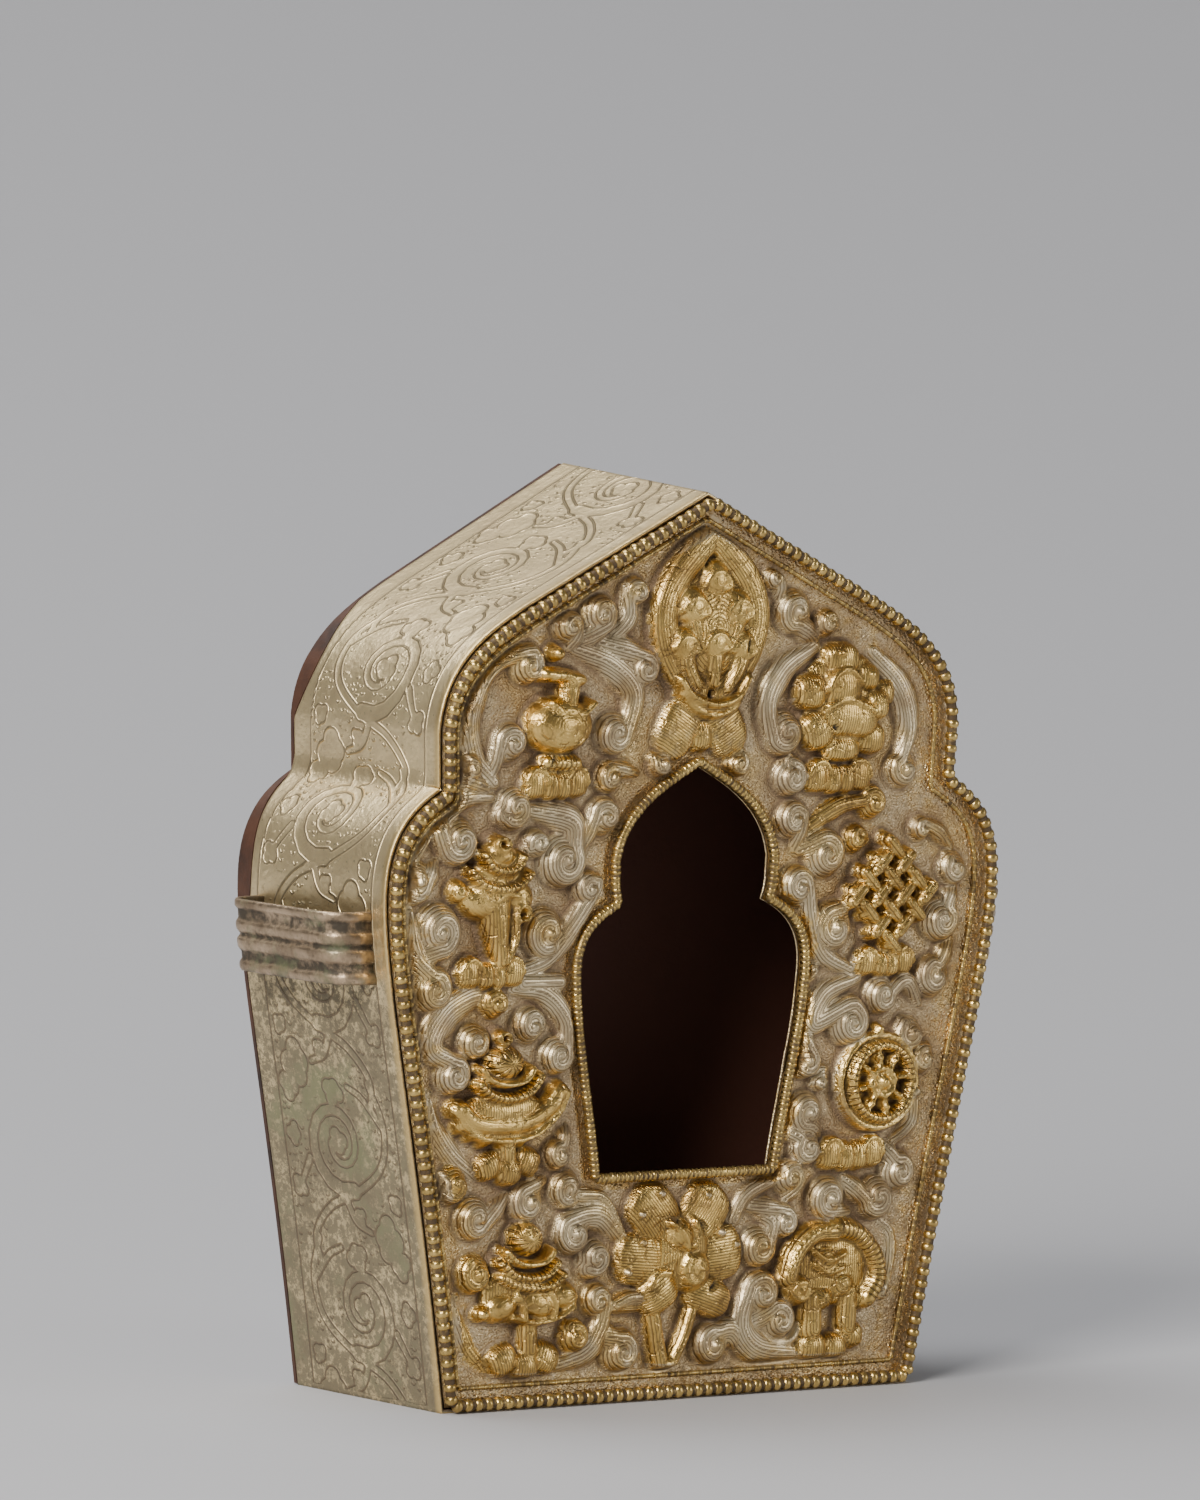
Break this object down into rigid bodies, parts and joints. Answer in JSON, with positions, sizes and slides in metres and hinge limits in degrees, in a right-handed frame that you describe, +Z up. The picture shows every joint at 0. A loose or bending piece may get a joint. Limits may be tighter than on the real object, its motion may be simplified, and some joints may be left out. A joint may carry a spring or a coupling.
{
  "type": "ghau shrine box",
  "caption": "Portable shrine box with a carved parcel-gilt silver front, cusped window, beaded edge, engraved silver sides, strap lugs and a copper back.",
  "frame": {"origin": "middle of the box's footprint, on its flat underside", "axes": "+Z up to the apex, -Y out of the carved face, +X to the viewer's right of that face"},
  "size_m": [0.1232, 0.0384, 0.1308],
  "materials": {
    "parcel_gilt_silver": "worn silver sheet, partly gilt",
    "worn_silver": "tarnished silver",
    "gilding": "worn gilding",
    "dull_strap_metal": "dull brown metal with green patina",
    "dark_copper": "dark copper"
  },
  "bodies": {
    "root": {"front_panel": "parcel_gilt_silver", "side_band": "worn_silver", "border_beading": "gilding", "window_beading": "gilding", "left_strap_loop": "dull_strap_metal", "right_strap_loop": "dull_strap_metal", "back_tray": "dark_copper"}
  },
  "joints": []
}
